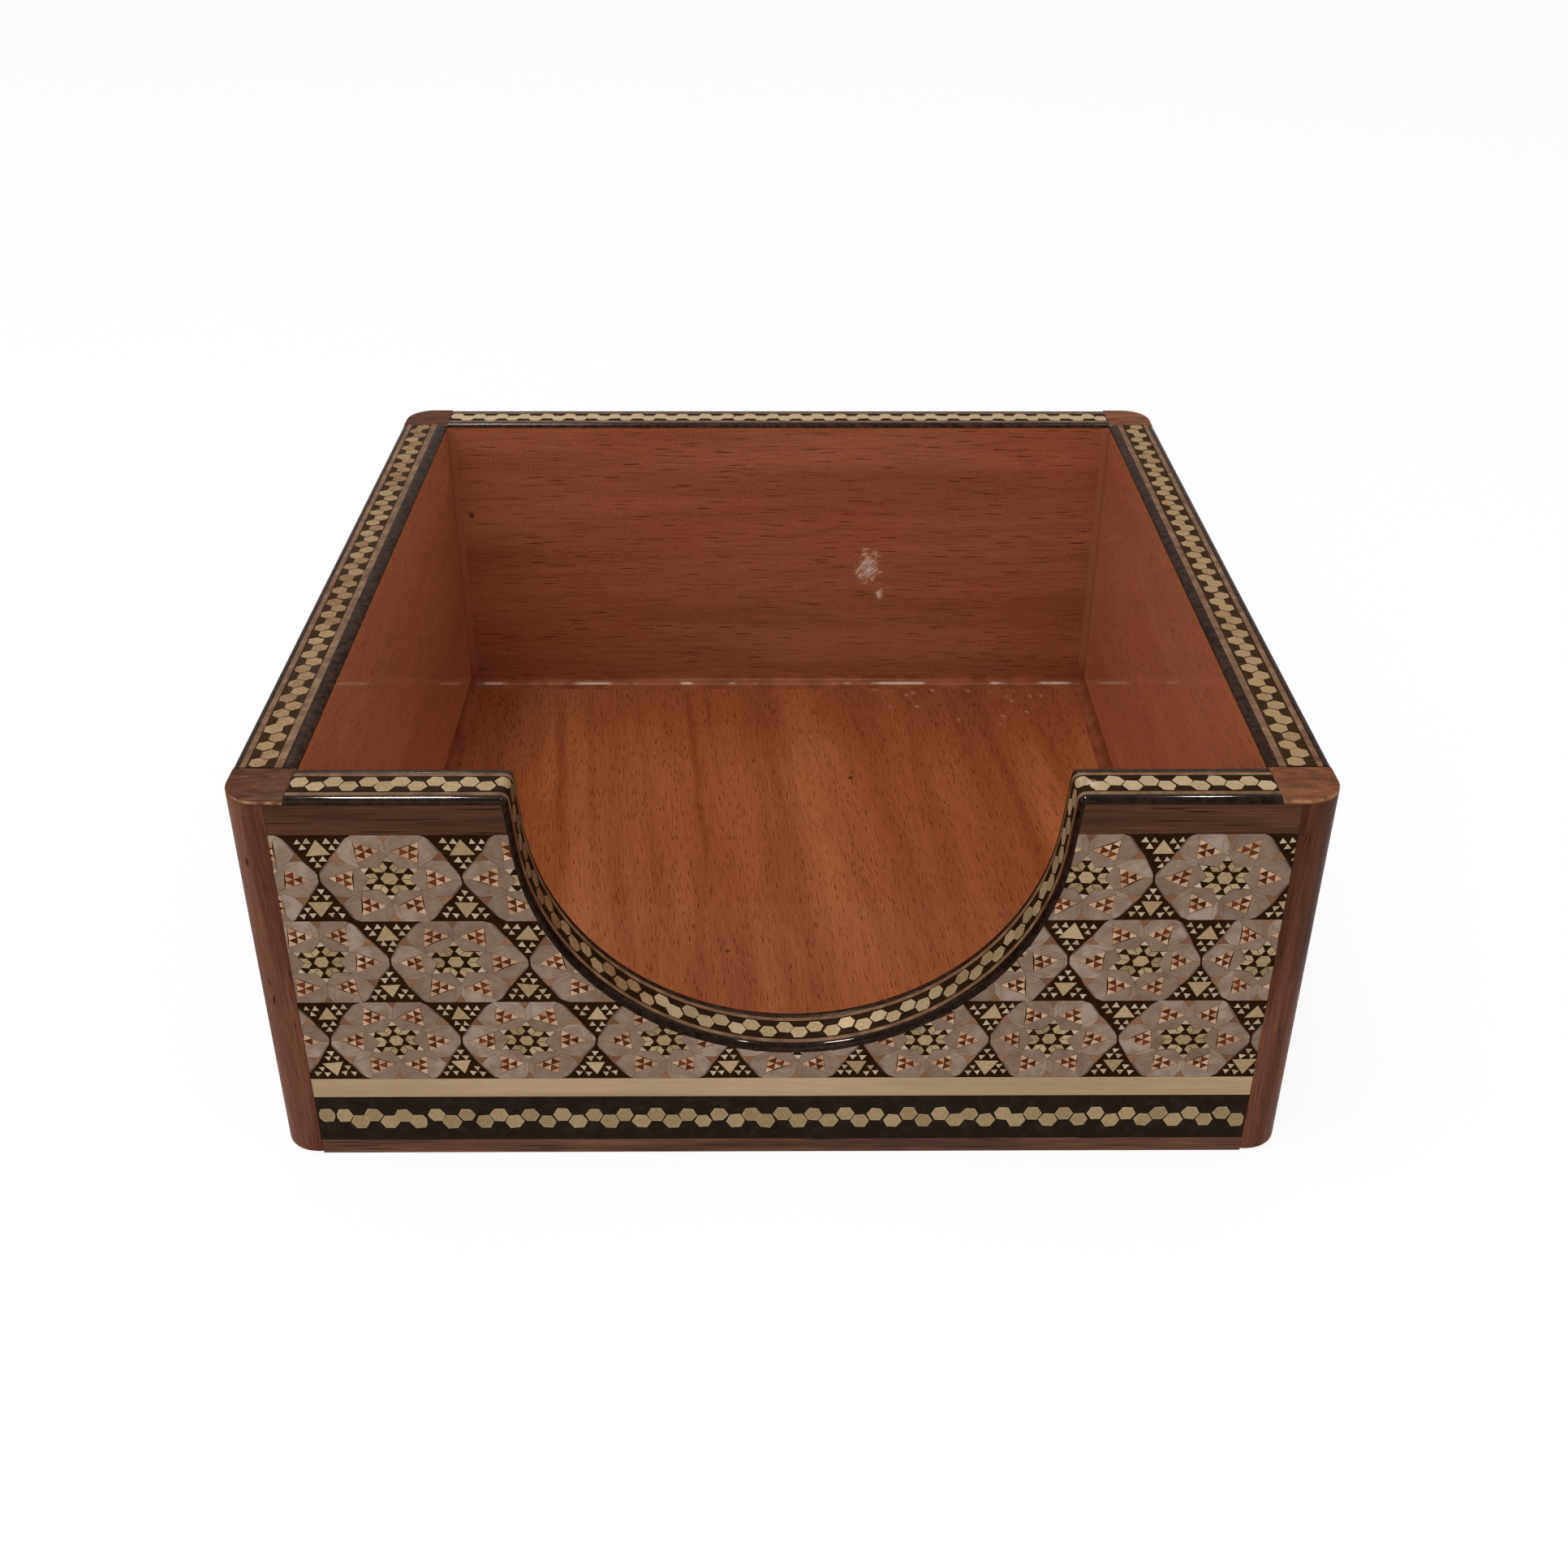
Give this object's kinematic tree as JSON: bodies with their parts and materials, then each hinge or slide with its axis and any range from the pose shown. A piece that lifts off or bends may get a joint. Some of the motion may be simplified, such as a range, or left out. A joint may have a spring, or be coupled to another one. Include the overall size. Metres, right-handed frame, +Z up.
{
  "type": "napkin holder",
  "caption": "Open square wooden box for folded napkins, faced with star mosaic and edged with inlaid strips, with a round finger cut-out in its front wall.",
  "frame": {"origin": "on the table under the middle of the box", "axes": "+Z up, -Y towards the front wall with the finger cut-out, +X to the right as seen from the front"},
  "size_m": [0.15, 0.15, 0.0624],
  "materials": {
    "beech": "reddish brown beech under clear gloss lacquer",
    "walnut": "dark walnut under clear gloss lacquer",
    "mosaic": "sliced mosaic of bone, black, red and pale wood and brass rods under clear gloss lacquer",
    "cream_wood": "pale straight-grained wood under clear gloss lacquer",
    "black_wood": "black wood under clear gloss lacquer",
    "brass_inlay": "black band with tan lines and a chain of brass hexagons, under clear gloss lacquer"
  },
  "bodies": {
    "root": {"base_board": "beech", "front_wall": "beech", "front_bottom_strip": "walnut", "front_hexagon_band": "black_wood", "front_cream_stripe": "cream_wood", "front_mosaic_panel": "mosaic", "front_left_top_strip": "walnut", "front_right_top_strip": "walnut", "right_wall": "beech", "right_bottom_strip": "walnut", "right_hexagon_band": "black_wood", "right_cream_stripe": "cream_wood", "right_mosaic_panel": "mosaic", "right_top_strip": "walnut", "back_wall": "beech", "back_bottom_strip": "walnut", "back_hexagon_band": "black_wood", "back_cream_stripe": "cream_wood", "back_mosaic_panel": "mosaic", "back_top_strip": "walnut", "left_wall": "beech", "left_bottom_strip": "walnut", "left_hexagon_band": "black_wood", "left_cream_stripe": "cream_wood", "left_mosaic_panel": "mosaic", "left_top_strip": "walnut", "corner_post_front_left": "walnut", "rim_block_front_left": "walnut", "corner_post_front_right": "walnut", "rim_block_front_right": "walnut", "corner_post_back_right": "walnut", "rim_block_back_right": "walnut", "corner_post_back_left": "walnut", "rim_block_back_left": "walnut", "rim_front_left_outer_bead": "black_wood", "rim_front_left_chain_band": "brass_inlay", "rim_front_left_inner_bead": "black_wood", "rim_front_right_outer_bead": "black_wood", "rim_front_right_chain_band": "brass_inlay", "rim_front_right_inner_bead": "black_wood", "rim_cutout_outer_bead": "black_wood", "rim_cutout_chain_band": "brass_inlay", "rim_cutout_inner_bead": "black_wood", "rim_right_outer_bead": "black_wood", "rim_right_chain_band": "brass_inlay", "rim_right_inner_bead": "black_wood", "rim_back_outer_bead": "black_wood", "rim_back_chain_band": "brass_inlay", "rim_back_inner_bead": "black_wood", "rim_left_outer_bead": "black_wood", "rim_left_chain_band": "brass_inlay", "rim_left_inner_bead": "black_wood"}
  },
  "joints": []
}
